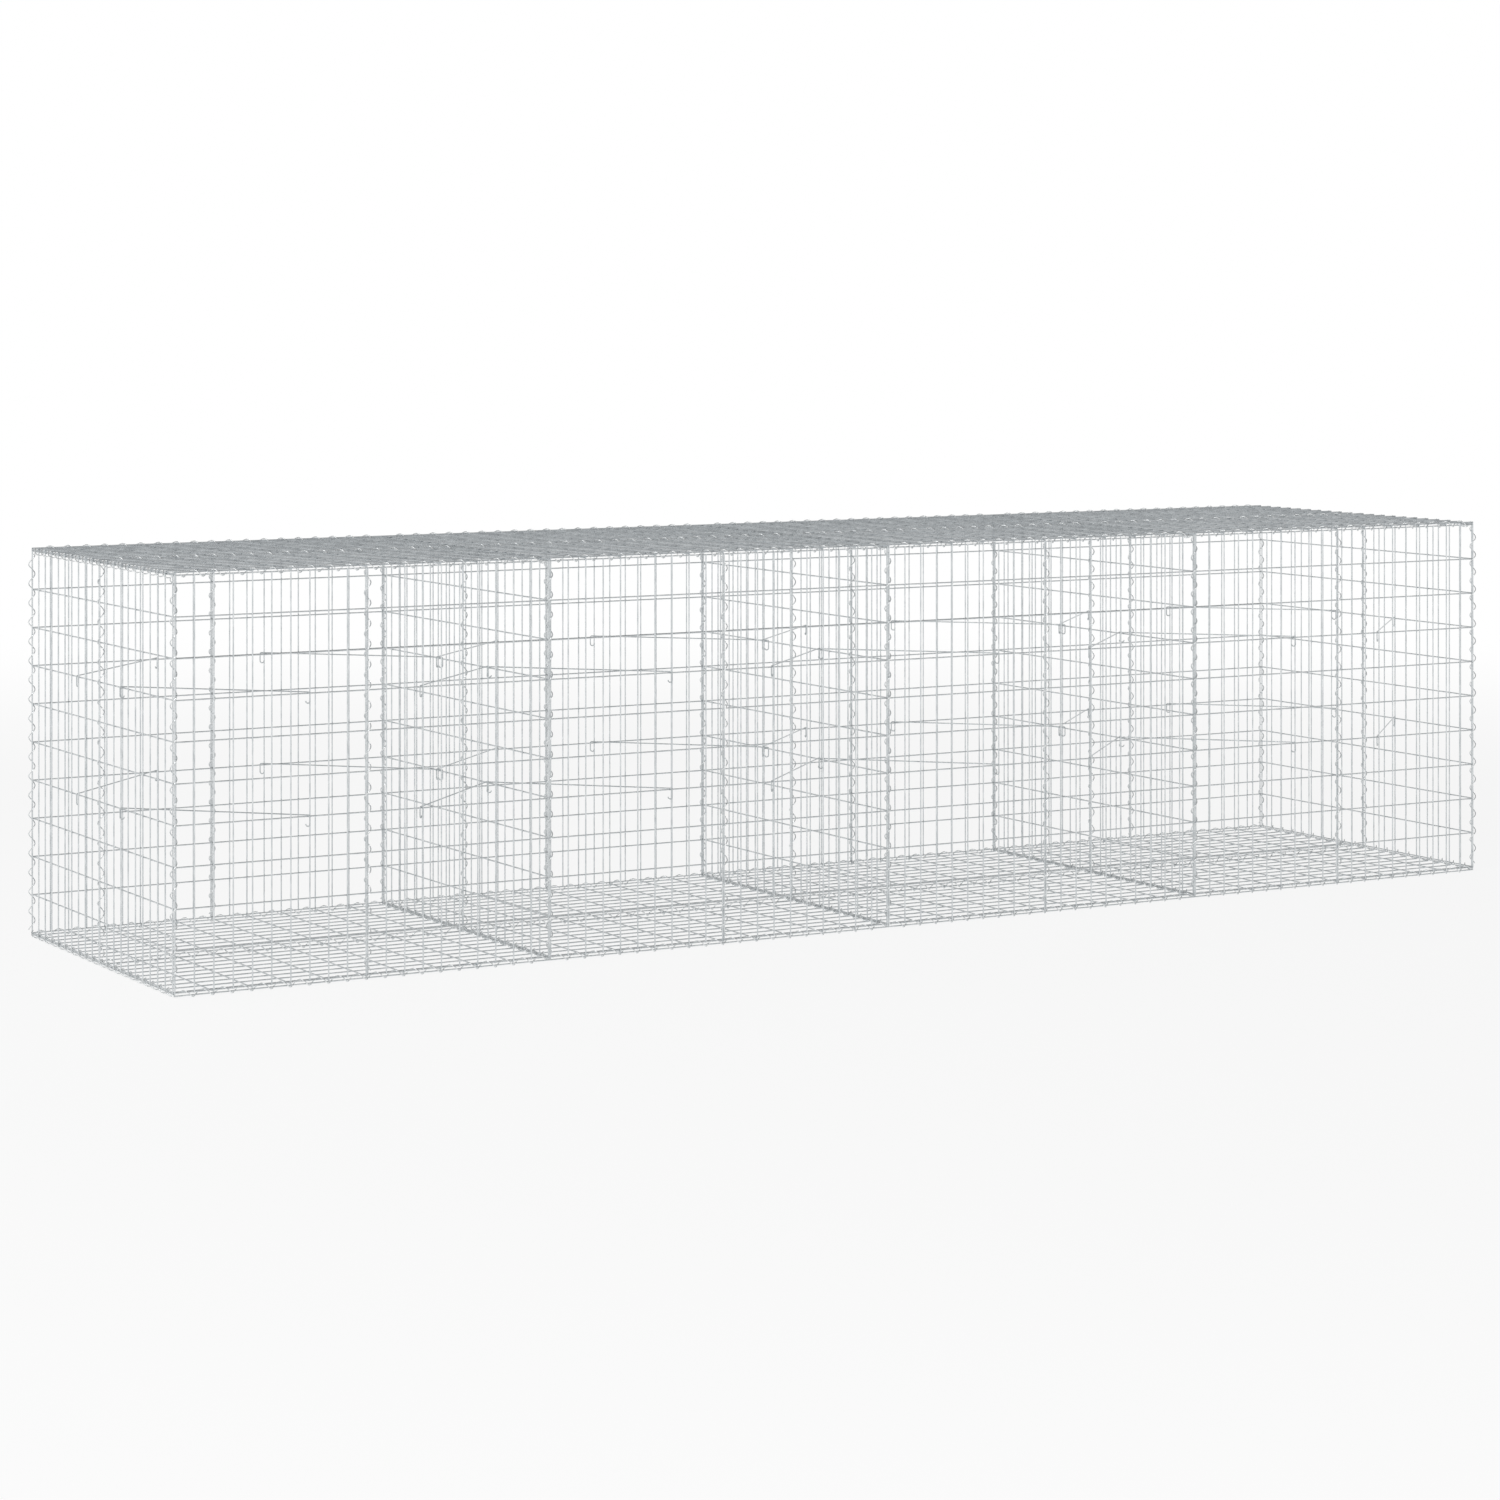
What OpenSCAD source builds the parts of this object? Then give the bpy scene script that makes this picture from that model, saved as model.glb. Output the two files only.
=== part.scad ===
// Gabion basket: welded mesh panels laced edge to edge with spiral wires, four bays in a row.
// Millimetres. X runs along the row of bays, Y from the front to the back, Z up from the ground.

/* [Mesh] */
// Width of one mesh cell, between long wires
cell_w = 50; // [49:1:52]
// Number of cells along and across one panel
cells = 10; // [8:1:11]
// Diameter of the mesh wire
wire_d = 3.5; // [3.2:0.1:3.7]
// Gap between crossing wires beside a weld
weld_gap = 0.05; // [0.02:0.01:0.1]

/* [Lacing] */
// Diameter of the spiral wire
spiral_d = 3; // [2.6:0.1:3]
// Gap between a spiral and the wire that it hangs on
seat_clear = 0.3; // [0.2:0.05:0.4]
// Gap between the edge wires of two panels laced side by side
edge_clear = 0.7; // [0.5:0.1:0.9]
// Gap between wires of two panels that pass one another at a joint
pass_clear = 0.35; // [0.3:0.05:0.4]

/* [Corner stays] */
// Diameter of the stay wire
stay_d = 3; // [2.5:0.1:3]
// Cells from a corner to a stay's hook
stay_cells = 7; // [5:1:7]
// Gap between a stay and the wires that it passes
stay_clear = 0.35; // [0.3:0.05:0.5]
// Radius of the bend in a hook
hook_r = 4; // [3:0.5:6]
// Length of the straight end of a hook
hook_tail = 18; // [12:1:25]

/* [Colours] */
// Shade of the galvanised panels, 0 black to 1 white
mesh_shade = 0.66; // [0.4:0.01:0.9]
// Shade of the galvanised spirals
spiral_shade = 0.6; // [0.4:0.01:0.9]
// Shade of the galvanised stays
stay_shade = 0.56; // [0.4:0.01:0.9]

/* [Hidden] */
$fn = 24;
bays = 4;
// Joint line to the axis of a panel's edge wire.
edge_off = (wire_d + edge_clear) / 2;
// A panel's width and length, between the axes of its edge wires.
panel_w = cells * cell_w;
panel_l = 2 * panel_w;
// A bay is two panels wide and two deep, between joint lines.
half_y = panel_w + 2 * edge_off;
bay = 2 * half_y;
half_x = bays * bay / 2;
floor_l = bay - 2 * edge_off;
// Long wires' plane to cross wires' plane.
cross_off = wire_d + weld_gap;
// Front wall's plane to the first long wire of an end panel or a divider.
inner_off = cross_off + wire_d + pass_clear;
// Wall's end cross wire to the floor's cross wires, and to its long wires.
floor_step = wire_d + pass_clear;
floor_drop = floor_step + cross_off;
inner_w = half_y - inner_off - edge_off;

// A spiral is made of planar arcs, four a turn, that meet on one disc with one tangent.
// tilt_c and tilt_s are an exact cosine and sine, so that neighbouring discs coincide.
spiral_pitch = half_y / cells;
rise = spiral_pitch / 4;
tilt_c = 0.658944;
tilt_s = 0.752192;
arc_deg = 66.7654;
tilt = acos(tan(arc_deg / 2));
tilt_rest = (tilt - atan2(tilt_s, tilt_c)) * PI / 180;
arc_r = rise / 2 / (sin(arc_deg / 2) * sin(tilt));
arc_side = arc_r * sin(arc_deg / 2) * cos(tilt);
arc_x = arc_side - arc_r * cos(arc_deg / 2);
spiral_r_least = arc_side * sqrt(2);
spiral_r_most = arc_x + arc_r;
spiral_out = spiral_r_most + spiral_d / 2;
spiral_arcs = 8 * cells - 2;
// Spiral's axis to the axis of the wire that it hangs on.
hang = spiral_r_least - (spiral_d + wire_d) / 2 - seat_clear;
hang_side = sqrt(hang * hang - edge_off * edge_off);
hang_wall = inner_off - hang;
hang_edge = cross_off - sqrt(hang * hang - floor_drop * floor_drop / 4);
hang_rise = hang_side - floor_step;

// Ground to the walls' lowest and highest cross wires.
z_low = floor_drop / 2 + spiral_out;
z_high = z_low + panel_l;
z_joint = z_low - edge_off;

// Axis of a stay to the axis of a wire that it passes.
stay_rise = (wire_d + stay_d) / 2 + stay_clear;
stay_levels = [4, 7];
// Long wire beside a hook, from the corner, in a wall and in an end panel or divider.
stay_wall = edge_off + stay_cells * cell_w;
stay_inner = inner_off + stay_cells * inner_w / cells;
// A stay's line, X + Y from the corner, on this side of both wires or past them.
stay_near = min(stay_wall, stay_inner) - stay_rise * sqrt(2);
stay_far = max(stay_wall, stay_inner) + stay_rise * sqrt(2);

function rnd(v) = round(v * 1000) / 1000;

// Panel in X and Z, long wires along Z and cross wires on the +Y side.
module panel(w, l) {
  for (i = [0:cells]) {
    translate([i * w / cells, 0, -wire_d / 2]) cylinder(h = l + wire_d, d = wire_d);
    translate([-wire_d / 2, cross_off, i * l / cells])
      rotate([0, 90, 0]) cylinder(h = w + wire_d, d = wire_d);
  }
}

module front_panel(i) {
  color([mesh_shade, mesh_shade, mesh_shade])
    translate([i * half_y - half_x + edge_off, -half_y, z_low]) panel(panel_w, panel_l);
}

module back_panel(i) {
  color([mesh_shade, mesh_shade, mesh_shade])
    translate([(i + 1) * half_y - half_x - edge_off, half_y, z_low])
      rotate([0, 0, 180]) panel(panel_w, panel_l);
}

// End panels and dividers, at joint line j, y_end is the far edge wire.
module inner_panel(j, y_end) {
  color([mesh_shade, mesh_shade, mesh_shade])
    translate([j * bay - half_x, y_end, z_low]) rotate([0, 0, -90]) panel(inner_w, panel_l);
}

module inner_panel_front(j) {
  inner_panel(j, -edge_off);
}

module inner_panel_back(j) {
  inner_panel(j, half_y - inner_off);
}

// Floor panels have their cross wires on top, under the walls.
module floor_panel(i, y_joint) {
  color([mesh_shade, mesh_shade, mesh_shade])
    translate([i * bay - half_x + edge_off, y_joint + edge_off, z_low - floor_drop])
      rotate([90, 0, 90]) panel(panel_w, floor_l);
}

// Lid panels have their cross wires beneath, on the walls.
module lid_panel(i, y_joint) {
  color([mesh_shade, mesh_shade, mesh_shade])
    translate([i * bay - half_x + edge_off, y_joint - edge_off, z_high + floor_drop])
      rotate([180, 0, 0]) rotate([90, 0, 90]) panel(panel_w, floor_l);
}

// One quarter of a turn, about the +X side of the spiral's axis.
module quarter_turn() {
  translate([rnd(arc_x), 0, 0]) translate([arc_x - rnd(arc_x), 0, 0])
    multmatrix([[1, 0, 0, 0], [0, tilt_c, -tilt_s, 0], [0, tilt_s, tilt_c, 0], [0, 0, 0, 1]])
    multmatrix([[1, 0, 0, 0], [0, 1, -tilt_rest, 0], [0, tilt_rest, 1, 0], [0, 0, 0, 1]])
      rotate_extrude(angle = arc_deg, start = -arc_deg / 2)
        translate([rnd(arc_r), 0]) translate([arc_r - rnd(arc_r), 0]) circle(d = spiral_d);
}

// Spiral up Z from a quarter pitch past a joint line, where its wire is at angle phase.
module spiral(phase) {
  color([spiral_shade, spiral_shade, spiral_shade])
    translate([0, 0, rise]) rotate([0, 0, phase + 45])
      for (i = [0:spiral_arcs - 1])
        translate([0, 0, rnd((i + 0.5) * rise)])
          translate([0, 0, (i + 0.5) * rise - rnd((i + 0.5) * rise)])
          rotate([0, 0, 90 * i]) quarter_turn();
}

// Phase 0 is down and 90 towards the back.
module spiral_x(phase) {
  rotate([0, 90, 0]) spiral(phase);
}

// Phase 0 is towards +X and 90 down.
module spiral_y(phase) {
  rotate([-90, 0, 0]) spiral(phase);
}

// Upright spirals of a long wall, on every panel edge.
module front_spirals() {
  for (k = [0:2 * bays])
    translate([k * half_y - half_x, (k % 2 == 0 ? hang_wall : -hang_side) - half_y, z_joint])
      spiral(0);
}

module back_spirals() {
  for (k = [0:2 * bays])
    translate([k * half_y - half_x, half_y - (k % 2 == 0 ? hang_wall : hang_side), z_joint])
      spiral(180);
}

module end_spirals() {
  for (x = [-half_x, half_x]) translate([x + hang_side, 0, z_joint]) spiral(270);
}

module divider_spirals() {
  for (j = [1:bays - 1]) translate([j * bay - half_x + hang_side, 0, z_joint]) spiral(270);
}

// One spiral a bay on each long joint line at the floor or the lid.
module long_spirals(z, phase) {
  for (j = [0:bays - 1]) {
    translate([j * bay - half_x, hang_edge - half_y, z]) spiral_x(phase);
    translate([j * bay - half_x, 0, z]) spiral_x(phase);
    translate([j * bay - half_x, half_y - hang_edge, z]) spiral_x(phase);
  }
}

module cross_spirals(z, phase) {
  for (j = [0:bays]) translate([j * bay - half_x, -half_y, z]) spiral_y(phase);
}

module floor_long_spirals() {
  long_spirals(z_low - floor_drop / 2, 90);
}

module floor_cross_spirals() {
  cross_spirals(z_low + hang_rise, 92);
}

module lid_long_spirals() {
  long_spirals(z_high + floor_drop / 2, 270);
}

module lid_cross_spirals() {
  cross_spirals(z_high - hang_rise, 268);
}

// Hook at the end of a stay that comes along +X.
module hook() {
  translate([-hook_r, 0, -hook_r]) rotate([90, 0, 0])
    rotate_extrude(angle = 90) translate([hook_r, 0]) circle(d = stay_d);
  translate([0, 0, -hook_r - hook_tail]) cylinder(h = hook_tail, d = stay_d);
}

// Stay along X from hook to hook.
module stay(x0, x1) {
  color([stay_shade, stay_shade, stay_shade]) {
    translate([x0 + hook_r, 0, 0]) rotate([0, 90, 0]) cylinder(h = x1 - x0 - 2 * hook_r, d = stay_d);
    translate([x1, 0, 0]) hook();
    translate([x0, 0, 0]) mirror([1, 0, 0]) hook();
  }
}

// Stay across the front corner at x = 0 of a bay on its +X side, reach from the corner.
// past_inner is how far its tail lies beyond the plane of the end panel or divider.
module corner_stay(reach, past_inner) {
  x0 = round(-100 * (reach / sqrt(2) + past_inner * sqrt(2))) / 100;
  x1 = round(100 * (reach / sqrt(2) + stay_rise * sqrt(2))) / 100;
  translate([reach / 2, reach / 2, 0]) rotate([0, 0, -45]) stay(x0, x1);
}

module bay_stays(i) {
  for (k = stay_levels) translate([0, 0, z_low + k * panel_l / cells + stay_rise]) {
    translate([i * bay - half_x, 0, 0]) {
      translate([0, -half_y, 0]) corner_stay(stay_near, stay_rise);
      translate([0, half_y, 0]) mirror([0, 1, 0]) corner_stay(stay_near, stay_rise);
    }
    translate([(i + 1) * bay - half_x, 0, 0]) mirror([1, 0, 0]) {
      translate([0, -half_y, 0]) corner_stay(stay_far, stay_rise + cross_off);
      translate([0, half_y, 0]) mirror([0, 1, 0]) corner_stay(stay_far, stay_rise + cross_off);
    }
  }
}

lid_long_spirals();
floor_long_spirals();
front_spirals();
back_spirals();
lid_cross_spirals();
floor_cross_spirals();
divider_spirals();
end_spirals();
bay_stays(0);  // stays_bay_1
bay_stays(1);  // stays_bay_2
bay_stays(2);  // stays_bay_3
bay_stays(3);  // stays_bay_4
front_panel(0);  // front_panel_1
front_panel(1);  // front_panel_2
front_panel(2);  // front_panel_3
front_panel(3);  // front_panel_4
front_panel(4);  // front_panel_5
front_panel(5);  // front_panel_6
front_panel(6);  // front_panel_7
front_panel(7);  // front_panel_8
back_panel(0);  // back_panel_1
back_panel(1);  // back_panel_2
back_panel(2);  // back_panel_3
back_panel(3);  // back_panel_4
back_panel(4);  // back_panel_5
back_panel(5);  // back_panel_6
back_panel(6);  // back_panel_7
back_panel(7);  // back_panel_8
inner_panel_front(0);  // left_end_panel_front
inner_panel_back(0);  // left_end_panel_back
inner_panel_front(1);  // divider_1_front
inner_panel_back(1);  // divider_1_back
inner_panel_front(2);  // divider_2_front
inner_panel_back(2);  // divider_2_back
inner_panel_front(3);  // divider_3_front
inner_panel_back(3);  // divider_3_back
inner_panel_front(4);  // right_end_panel_front
inner_panel_back(4);  // right_end_panel_back
floor_panel(0, -half_y);  // floor_panel_1_front
floor_panel(1, -half_y);  // floor_panel_2_front
floor_panel(2, -half_y);  // floor_panel_3_front
floor_panel(3, -half_y);  // floor_panel_4_front
floor_panel(0, 0);  // floor_panel_1_back
floor_panel(1, 0);  // floor_panel_2_back
floor_panel(2, 0);  // floor_panel_3_back
floor_panel(3, 0);  // floor_panel_4_back
lid_panel(0, 0);  // lid_panel_1_front
lid_panel(1, 0);  // lid_panel_2_front
lid_panel(2, 0);  // lid_panel_3_front
lid_panel(3, 0);  // lid_panel_4_front
lid_panel(0, half_y);  // lid_panel_1_back
lid_panel(1, half_y);  // lid_panel_2_back
lid_panel(2, half_y);  // lid_panel_3_back
lid_panel(3, half_y);  // lid_panel_4_back
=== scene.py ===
"""Gabion basket: galvanised finishes, smooth spirals, studio floor, light and camera."""

import math

import bpy
import numpy as np
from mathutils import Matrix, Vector


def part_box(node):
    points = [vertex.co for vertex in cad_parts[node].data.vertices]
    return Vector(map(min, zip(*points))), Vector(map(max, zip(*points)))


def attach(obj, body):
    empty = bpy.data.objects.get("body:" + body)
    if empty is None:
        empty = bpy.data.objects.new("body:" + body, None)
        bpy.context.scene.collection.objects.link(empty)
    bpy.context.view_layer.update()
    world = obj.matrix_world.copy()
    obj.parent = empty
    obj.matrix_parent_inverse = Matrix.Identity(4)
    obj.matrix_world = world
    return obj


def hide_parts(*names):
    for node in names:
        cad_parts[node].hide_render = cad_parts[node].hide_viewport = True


MM = 0.001
BAYS = 4
METALLIC = 0.85
WHITE = (1, 1, 1, 1)

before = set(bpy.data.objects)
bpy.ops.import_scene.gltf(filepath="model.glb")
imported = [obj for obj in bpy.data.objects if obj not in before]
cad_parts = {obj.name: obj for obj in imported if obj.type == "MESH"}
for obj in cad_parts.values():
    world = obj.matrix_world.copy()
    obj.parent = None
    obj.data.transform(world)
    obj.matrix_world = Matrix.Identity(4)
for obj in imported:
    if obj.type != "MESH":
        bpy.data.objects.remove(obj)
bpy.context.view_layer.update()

# Meshes


def ring_walls(rings, sides, flipped=False):
    """Faces between rings of points, and caps; flipped where the rings run the other way."""
    faces = []
    for i in range(rings - 1):
        a, b = i * sides, (i + 1) * sides
        for k in range(sides):
            n = (k + 1) % sides
            quad = (a + k, a + n, b + n, b + k)
            faces.append((a + k, b + k, b + n, a + n) if flipped else quad)
    last = (rings - 1) * sides
    first_cap = tuple(range(sides))
    last_cap = tuple(last + k for k in range(sides))
    if flipped:
        return faces + [first_cap, last_cap[::-1]]
    return faces + [first_cap[::-1], last_cap]


def join(parts):
    """Points and faces of several meshes as one."""
    points, faces, base = [], [], 0
    for part_points, part_faces in parts:
        points.append(part_points)
        faces += [tuple(base + v for v in face) for face in part_faces]
        base += len(part_points)
    return np.concatenate(points), faces


def make_piece(name, points, faces, material):
    """Object from points and faces, smooth on its walls and flat on its caps."""
    mesh = bpy.data.meshes.new(name)
    mesh.from_pydata(points.tolist(), [], faces)
    mesh.polygons.foreach_set("use_smooth", [len(face) == 4 for face in faces])
    mesh.update()
    mesh.materials.append(material)
    piece = bpy.data.objects.new(name, mesh)
    bpy.context.scene.collection.objects.link(piece)
    return piece


# Materials: zinc on wire
PATCH_SCALE, PATCH_DETAIL = 38.0, 4.0
PATCH_DARK_END, PATCH_LIGHT_START = 0.32, 0.68
SPANGLE_SCALE = 420.0
SPANGLE_BUMP, SPANGLE_DEPTH = 0.12, 0.0004


def nodes_of(owner):
    """Emptied nodes and links of a material or world."""
    owner.use_nodes = True
    tree = owner.node_tree
    tree.nodes.clear()
    return tree.nodes, tree.links


def galvanised(name, dark, light, rough_low=0.2, rough_high=0.36):
    """Zinc with soft patches from dark to light, and a fine spangle in gloss and relief."""
    material = bpy.data.materials.new(name)
    nodes, links = nodes_of(material)
    out = nodes.new("ShaderNodeOutputMaterial")
    shader = nodes.new("ShaderNodeBsdfPrincipled")
    place = nodes.new("ShaderNodeTexCoord")
    patches = nodes.new("ShaderNodeTexNoise")
    patches.inputs["Scale"].default_value = PATCH_SCALE
    patches.inputs["Detail"].default_value = PATCH_DETAIL
    spangle = nodes.new("ShaderNodeTexVoronoi")
    spangle.inputs["Scale"].default_value = SPANGLE_SCALE
    colour = nodes.new("ShaderNodeValToRGB")
    colour.color_ramp.elements[0].position = PATCH_DARK_END
    colour.color_ramp.elements[0].color = (*dark, 1)
    colour.color_ramp.elements[1].position = PATCH_LIGHT_START
    colour.color_ramp.elements[1].color = (*light, 1)
    rough = nodes.new("ShaderNodeMapRange")
    rough.inputs["To Min"].default_value = rough_low
    rough.inputs["To Max"].default_value = rough_high
    bump = nodes.new("ShaderNodeBump")
    bump.inputs["Strength"].default_value = SPANGLE_BUMP
    bump.inputs["Distance"].default_value = SPANGLE_DEPTH
    links.new(place.outputs["Object"], patches.inputs["Vector"])
    links.new(place.outputs["Object"], spangle.inputs["Vector"])
    links.new(patches.outputs["Fac"], colour.inputs["Fac"])
    links.new(spangle.outputs["Distance"], rough.inputs["Value"])
    links.new(spangle.outputs["Distance"], bump.inputs["Height"])
    links.new(colour.outputs["Color"], shader.inputs["Base Color"])
    links.new(rough.outputs["Result"], shader.inputs["Roughness"])
    links.new(bump.outputs["Normal"], shader.inputs["Normal"])
    shader.inputs["Metallic"].default_value = METALLIC
    links.new(shader.outputs["BSDF"], out.inputs["Surface"])
    return material


panel_zinc = galvanised("galvanised_panel", (0.60, 0.63, 0.645), (0.78, 0.805, 0.815))
# Lid: the panels' zinc made darker, painted shade standing in for the shade that falls between
# the lid's dense wires.
lid_zinc_painted_shade = galvanised("galvanised_lid_painted_shade", (0.47, 0.50, 0.52), (0.66, 0.695, 0.715))
# Spirals: a lighter zinc than the panels, a painted highlight on the loops; their lower
# roughness is real gloss.
spiral_zinc_painted_highlight = galvanised(
    "galvanised_spiral_painted_highlight", (0.74, 0.765, 0.775), (0.90, 0.915, 0.92), 0.12, 0.24
)
stay_zinc = galvanised("galvanised_stay", (0.48, 0.51, 0.525), (0.66, 0.69, 0.70))

SPIRALS = {
    "front_spirals": "front_lacing",
    "back_spirals": "back_lacing",
    "end_spirals": "end_lacing",
    "divider_spirals": "divider_lacing",
    "floor_long_spirals": "floor_long_lacing",
    "floor_cross_spirals": "floor_cross_lacing",
    "lid_long_spirals": "lid_long_lacing",
    "lid_cross_spirals": "lid_cross_lacing",
}

for name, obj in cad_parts.items():
    obj.data.materials.clear()
    if name.startswith("stays"):
        obj.data.materials.append(stay_zinc)
    else:
        # The lid takes the darker zinc with its painted shade.
        obj.data.materials.append(lid_zinc_painted_shade if name.startswith("lid") else panel_zinc)
    for face in obj.data.polygons:
        face.material_index = 0

# Spirals: the same helices as the solids, with even steps and a smooth round section.

HALF_X, HALF_Y, BAY = 2.0168, 0.5042, 1.0084
PITCH = 50.42 * MM
WIRE_R = 1.5 * MM
COIL_R = 7.967 * MM
COIL_LENGTH = 983.19 * MM
START = 12.605 * MM
STEPS_A_TURN = 20
SIDES = 8
# Degrees from a Y spiral's start to its lowest point at the floor, or highest at the lid.
CROSS_TURN = 2

EDGE_OFF = 2.1 * MM
CROSS_OFF = 3.55 * MM
FLOOR_DROP = 7.4 * MM
INNER_OFF = 7.4 * MM
HANG = 4.258 * MM
HANG_SIDE = math.sqrt(HANG**2 - EDGE_OFF**2)
HANG_WALL = INNER_OFF - HANG
HANG_EDGE = CROSS_OFF - math.sqrt(HANG**2 - FLOOR_DROP**2 / 4)
FLOOR_STEP = 3.85 * MM
HANG_RISE = HANG_SIDE - FLOOR_STEP
CELLS = 10
PANEL_W, PANEL_L = 500 * MM, 1000 * MM
FLOOR_L = BAY - 2 * EDGE_OFF
INNER_W = HALF_Y - INNER_OFF - EDGE_OFF
PANEL_WIRE_R = 1.75 * MM
Z_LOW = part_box("front_panel_1")[0].z + PANEL_WIRE_R
Z_HIGH = Z_LOW + PANEL_L
Z_JOINT = Z_LOW - EDGE_OFF


def helix(origin, axis, across, phase):
    """Points and faces of one spiral along axis from origin.

    At its start the wire lies at phase degrees from across.
    """
    axis, across = np.array(axis, float), np.array(across, float)
    side = np.cross(axis, across)
    count = int(COIL_LENGTH / PITCH * STEPS_A_TURN) + 1
    s = np.linspace(0, COIL_LENGTH, count)
    angle = math.radians(phase) + 2 * math.pi * s / PITCH
    radial = np.cos(angle)[:, None] * across + np.sin(angle)[:, None] * side
    centre = np.array(origin) + (START + s)[:, None] * axis + COIL_R * radial
    turn = -np.sin(angle)[:, None] * across + np.cos(angle)[:, None] * side
    run = turn * (2 * math.pi * COIL_R) + axis * PITCH
    run /= np.linalg.norm(run, axis=1)[:, None]
    normal = np.cross(run, radial)
    ring = []
    for k in range(SIDES):
        a = 2 * math.pi * k / SIDES
        ring.append(centre + WIRE_R * (math.cos(a) * radial + math.sin(a) * normal))
    points = np.stack(ring, axis=1).reshape(-1, 3)
    return points, ring_walls(count, SIDES)


def up(x, y, phase):
    return (x, y, Z_JOINT), (0, 0, 1), (1, 0, 0), phase


def along_x(x, y, z, phase):
    return (x, y, z), (1, 0, 0), (0, 0, -1), phase


def along_y(x, z, phase):
    return (x, -HALF_Y, z), (0, 1, 0), (1, 0, 0), phase


def long_rows(z, phase):
    return [
        along_x(j * BAY - HALF_X, y, z, phase)
        for j in range(BAYS)
        for y in (HANG_EDGE - HALF_Y, 0, HALF_Y - HANG_EDGE)
    ]


def cross_rows(z, phase):
    return [along_y(j * BAY - HALF_X, z, phase) for j in range(BAYS + 1)]


def front_y(k):
    return (HANG_WALL if k % 2 == 0 else -HANG_SIDE) - HALF_Y


def back_y(k):
    return HALF_Y - (HANG_WALL if k % 2 == 0 else HANG_SIDE)


coils = {
    "front_spirals": [up(k * HALF_Y - HALF_X, front_y(k), 0) for k in range(2 * BAYS + 1)],
    "back_spirals": [up(k * HALF_Y - HALF_X, back_y(k), 180) for k in range(2 * BAYS + 1)],
    "end_spirals": [up(x + HANG_SIDE, 0, 270) for x in (-HALF_X, HALF_X)],
    "divider_spirals": [up(j * BAY - HALF_X + HANG_SIDE, 0, 270) for j in range(1, BAYS)],
    "floor_long_spirals": long_rows(Z_LOW - FLOOR_DROP / 2, 90),
    "lid_long_spirals": long_rows(Z_HIGH + FLOOR_DROP / 2, 270),
    "floor_cross_spirals": cross_rows(Z_LOW + HANG_RISE, 90 + CROSS_TURN),
    "lid_cross_spirals": cross_rows(Z_HIGH - HANG_RISE, 270 - CROSS_TURN),
}

for node, places in coils.items():
    points, faces = join(helix(*place) for place in places)
    # Spirals take the lighter zinc with its painted highlight.
    piece = make_piece(SPIRALS[node], points, faces, spiral_zinc_painted_highlight)
    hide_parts(node)
    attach(piece, "root")

# Stay ends: each hook ends in a curl back under its stay.

CELL_L = 100 * MM
STAY_CELLS = 7
STAY_LEVELS = (4, 7)
STAY_RISE = 3.6 * MM
PAST_DIVIDER = STAY_RISE + CROSS_OFF
STAY_WALL = EDGE_OFF + STAY_CELLS / CELLS * PANEL_W
STAY_INNER = INNER_OFF + STAY_CELLS / CELLS * INNER_W
STAY_NEAR = min(STAY_WALL, STAY_INNER) - STAY_RISE * math.sqrt(2)
STAY_FAR = max(STAY_WALL, STAY_INNER) + STAY_RISE * math.sqrt(2)
HOOK_DROP = 22 * MM
CURL_R = 5.5 * MM
CURL_STEPS = 14


def curl(x, y, z, inward):
    """Half a turn of wire down from x, y, z and up again on the inward side."""
    inward = np.array(inward, float) / np.linalg.norm(inward)
    rise = np.array((0, 0, 1.0))
    across = np.cross(inward, rise)
    centre = np.array((x, y, z)) + CURL_R * inward
    points = []
    for i in range(CURL_STEPS + 1):
        t = math.pi * i / CURL_STEPS
        radial = -math.cos(t) * inward - math.sin(t) * rise
        for k in range(SIDES):
            a = 2 * math.pi * k / SIDES
            points.append(
                centre + (CURL_R + WIRE_R * math.cos(a)) * radial + WIRE_R * math.sin(a) * across
            )
    return np.array(points), ring_walls(CURL_STEPS + 1, SIDES, flipped=True)


def corner_curls(x, y, sx, sy, z, reach, past):
    """Curls at both ends of the stay across the corner at x, y."""
    yield curl(x + sx * (reach + STAY_RISE), y - sy * STAY_RISE, z, (-sx, sy, 0))
    yield curl(x - sx * past, y + sy * (reach + past), z, (sx, -sy, 0))


curl_parts = []
for bay in range(BAYS):
    left = bay * BAY - HALF_X
    for level in STAY_LEVELS:
        z = Z_LOW + level * CELL_L + STAY_RISE - HOOK_DROP
        for sy in (1, -1):
            y = -sy * HALF_Y
            curl_parts += corner_curls(left, y, 1, sy, z, STAY_NEAR, STAY_RISE)
            curl_parts += corner_curls(left + BAY, y, -1, sy, z, STAY_FAR, PAST_DIVIDER)
curls = make_piece("stay_curls", *join(curl_parts), stay_zinc)
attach(curls, "root")

# Welds: a small nugget between the two wires of each crossing.

NUGGET_RINGS = ((-0.9 * MM, 1.2 * MM), (0, 2.5 * MM), (0.9 * MM, 1.2 * MM))
NUGGET_SIDES = 8


def nuggets(width, length):
    """Points of all nuggets of a panel in X and Z with its cross wires on the +Y side."""
    ring = []
    for depth, radius in NUGGET_RINGS:
        for k in range(NUGGET_SIDES):
            a = 2 * math.pi * k / NUGGET_SIDES
            ring.append((radius * math.cos(a), depth, radius * math.sin(a)))
    ring = np.array(ring)
    steps = np.arange(CELLS + 1) / CELLS
    centres = [(u * width, CROSS_OFF / 2, v * length) for u in steps for v in steps]
    return (np.array(centres)[:, None, :] + ring[None, :, :]).reshape(-1, 3)


def nugget_faces(count):
    one = ring_walls(len(NUGGET_RINGS), NUGGET_SIDES, flipped=True)
    size = NUGGET_SIDES * len(NUGGET_RINGS)
    return [tuple(c * size + v for v in face) for c in range(count) for face in one]


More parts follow.
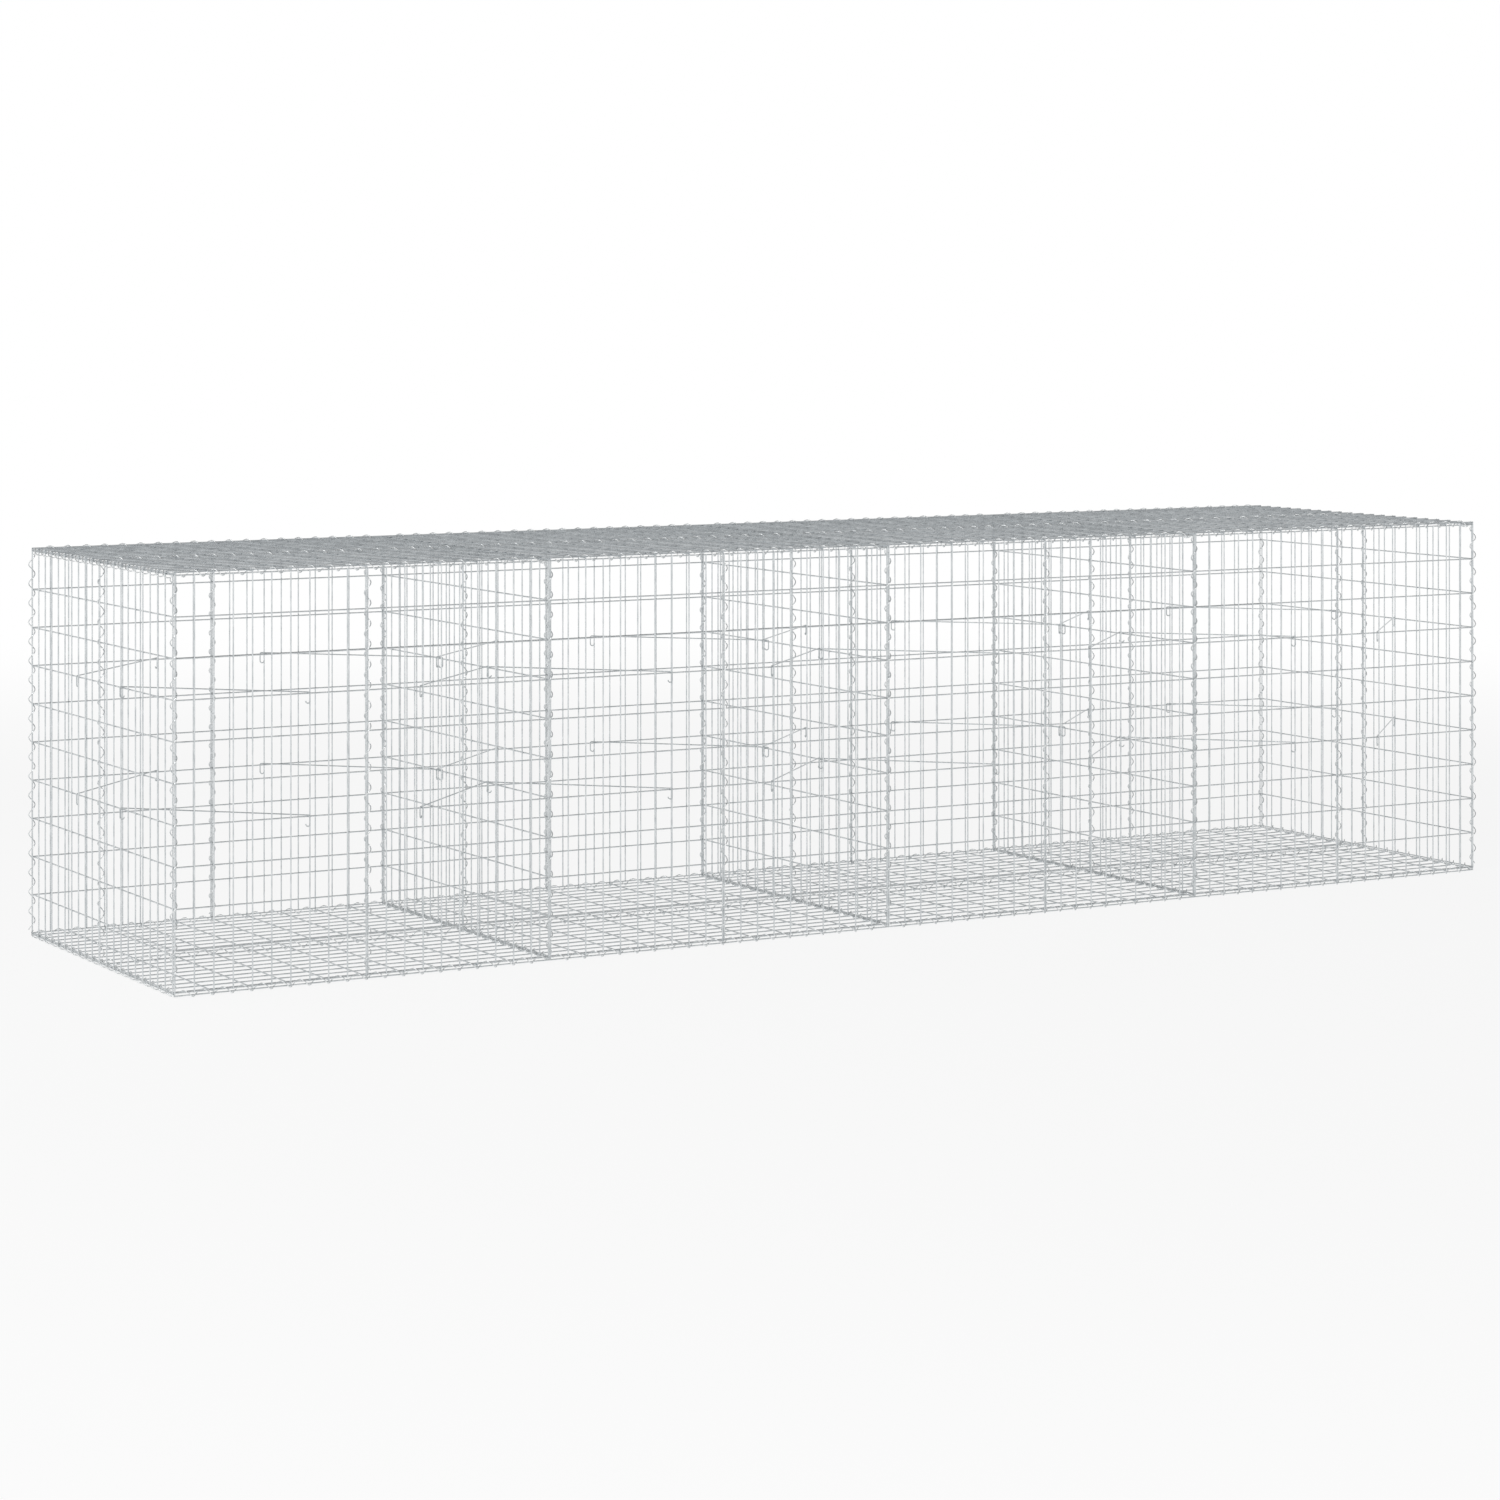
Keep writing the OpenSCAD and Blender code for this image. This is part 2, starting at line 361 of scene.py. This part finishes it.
def front_place(i):
    p = nuggets(PANEL_W, PANEL_L)
    return p + (i * HALF_Y - HALF_X + EDGE_OFF, -HALF_Y, Z_LOW)


def back_place(i):
    p = nuggets(PANEL_W, PANEL_L) * (-1, -1, 1)
    return p + ((i + 1) * HALF_Y - HALF_X - EDGE_OFF, HALF_Y, Z_LOW)


def inner_place(j, y_end):
    p = nuggets(INNER_W, PANEL_L)[:, (1, 0, 2)] * (1, -1, 1)
    return p + (j * BAY - HALF_X, y_end, Z_LOW)


def floor_place(i, y_joint):
    p = nuggets(PANEL_W, FLOOR_L)[:, (2, 0, 1)]
    return p + (i * BAY - HALF_X + EDGE_OFF, y_joint + EDGE_OFF, Z_LOW - FLOOR_DROP)


def lid_place(i, y_joint):
    p = nuggets(PANEL_W, FLOOR_L)[:, (2, 0, 1)] * (1, -1, -1)
    return p + (i * BAY - HALF_X + EDGE_OFF, y_joint - EDGE_OFF, Z_HIGH + FLOOR_DROP)


welds = {
    "front_welds": [front_place(i) for i in range(2 * BAYS)],
    "back_welds": [back_place(i) for i in range(2 * BAYS)],
    "inner_welds": [
        inner_place(j, y) for j in range(BAYS + 1) for y in (-EDGE_OFF, HALF_Y - INNER_OFF)
    ],
    "floor_welds": [floor_place(i, y) for i in range(BAYS) for y in (-HALF_Y, 0)],
    "lid_welds": [lid_place(i, y) for i in range(BAYS) for y in (0, HALF_Y)],
}
for name, places in welds.items():
    faces = nugget_faces(len(places) * (CELLS + 1) ** 2)
    # Lid welds take the lid's zinc with its painted shade.
    zinc = lid_zinc_painted_shade if name.startswith("lid") else panel_zinc
    piece = make_piece(name, np.concatenate(places), faces, zinc)
    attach(piece, "root")

# Floor and light
FLOOR_SPAN = 60.0
PAPER = (0.93, 0.93, 0.93, 1)
# The floor shows this share of white near the object, and plain white past the fade.
NEAR_WHITE = 0.85
FADE_START, FADE_END = 3.0, 9.0
# The lit world goes from white walls to a dimmer ceiling between these Z parts of a direction.
WALL_TOP, CEILING_START = 0.1, 0.5
CEILING_LEVEL = 0.3

floor_mesh = bpy.data.meshes.new("floor")
corners = [(x * FLOOR_SPAN, y * FLOOR_SPAN, 0) for x, y in ((-1, -1), (1, -1), (1, 1), (-1, 1))]
floor_mesh.from_pydata(corners, [], [(0, 1, 2, 3)])
floor = bpy.data.objects.new("floor", floor_mesh)
bpy.context.scene.collection.objects.link(floor)


def any_ray(nodes, links, *kinds):
    """Socket that is 1 for rays of any of the kinds."""
    ray = nodes.new("ShaderNodeLightPath")
    found = ray.outputs[kinds[0]]
    for kind in kinds[1:]:
        either = nodes.new("ShaderNodeMath")
        either.operation = "MAXIMUM"
        links.new(found, either.inputs[0])
        links.new(ray.outputs[kind], either.inputs[1])
        found = either.outputs["Value"]
    return found


# Plain pale floor, shown nearly white, with the object's shadow.
paper = bpy.data.materials.new("studio_floor")
nodes, links = nodes_of(paper)
out = nodes.new("ShaderNodeOutputMaterial")
near = nodes.new("ShaderNodeBsdfDiffuse")
near.inputs["Color"].default_value = PAPER
far = nodes.new("ShaderNodeEmission")
far.inputs["Color"].default_value = WHITE
far.inputs["Strength"].default_value = 1.0
place = nodes.new("ShaderNodeTexCoord")
reach = nodes.new("ShaderNodeVectorMath")
reach.operation = "LENGTH"
fade = nodes.new("ShaderNodeMapRange")
fade.interpolation_type = "SMOOTHSTEP"
fade.inputs["From Min"].default_value = FADE_START
fade.inputs["From Max"].default_value = FADE_END
fade.inputs["To Min"].default_value = NEAR_WHITE
seen = nodes.new("ShaderNodeMath")
seen.operation = "MULTIPLY"
blend = nodes.new("ShaderNodeMixShader")
links.new(place.outputs["Object"], reach.inputs[0])
links.new(reach.outputs["Value"], fade.inputs["Value"])
links.new(fade.outputs["Result"], seen.inputs[0])
background_ray = any_ray(nodes, links, "Is Camera Ray", "Is Glossy Ray", "Is Transmission Ray")
links.new(background_ray, seen.inputs[1])
links.new(seen.outputs["Value"], blend.inputs["Fac"])
links.new(near.outputs["BSDF"], blend.inputs[1])
links.new(far.outputs["Emission"], blend.inputs[2])
links.new(blend.outputs["Shader"], out.inputs["Surface"])
floor_mesh.materials.append(paper)

# White to the camera. Metal and diffuse rays see white walls and a dimmer ceiling.
world = bpy.data.worlds.new("studio")
bpy.context.scene.world = world
nodes, links = nodes_of(world)
out = nodes.new("ShaderNodeOutputWorld")
seen = nodes.new("ShaderNodeBackground")
seen.inputs["Color"].default_value = WHITE
seen.inputs["Strength"].default_value = 1.0
lit = nodes.new("ShaderNodeBackground")
lit.inputs["Color"].default_value = WHITE
place = nodes.new("ShaderNodeTexCoord")
height = nodes.new("ShaderNodeSeparateXYZ")
level = nodes.new("ShaderNodeMapRange")
level.interpolation_type = "SMOOTHSTEP"
level.inputs["From Min"].default_value = WALL_TOP
level.inputs["From Max"].default_value = CEILING_START
level.inputs["To Min"].default_value = 1.0
level.inputs["To Max"].default_value = CEILING_LEVEL
links.new(place.outputs["Generated"], height.inputs["Vector"])
links.new(height.outputs["Z"], level.inputs["Value"])
links.new(level.outputs["Result"], lit.inputs["Strength"])
pick = nodes.new("ShaderNodeMixShader")
links.new(any_ray(nodes, links, "Is Camera Ray", "Is Transmission Ray"), pick.inputs["Fac"])
links.new(lit.outputs["Background"], pick.inputs[1])
links.new(seen.outputs["Background"], pick.inputs[2])
links.new(pick.outputs["Shader"], out.inputs["Surface"])


def area(name, place, target, size, power):
    light = bpy.data.lights.new(name, "AREA")
    light.shape = "DISK"
    light.size = size
    light.energy = power  # watts
    obj = bpy.data.objects.new(name, light)
    obj.location = place
    obj.rotation_euler = (Vector(target) - Vector(place)).to_track_quat("-Z", "Y").to_euler()
    bpy.context.scene.collection.objects.link(obj)


area("key", (-5.0, -4.5, 7.0), (0, 0, 0.4), 5.0, 200)
area("fill", (-7.0, 5.0, 6.0), (0, 0, 0.5), 6.0, 110)

# Camera

camera = bpy.data.cameras.new("camera")
camera.sensor_width = 36.0
camera.lens = 91.6798
camera.shift_y = -0.30353
view = bpy.data.objects.new("camera", camera)
view.location = (-5.40208, -9.10235, 1.68521)
view.rotation_euler = (math.radians(90), 0, math.radians(-30.0658))
bpy.context.scene.collection.objects.link(view)
bpy.context.scene.camera = view

bpy.context.scene.view_settings.view_transform = "Standard"
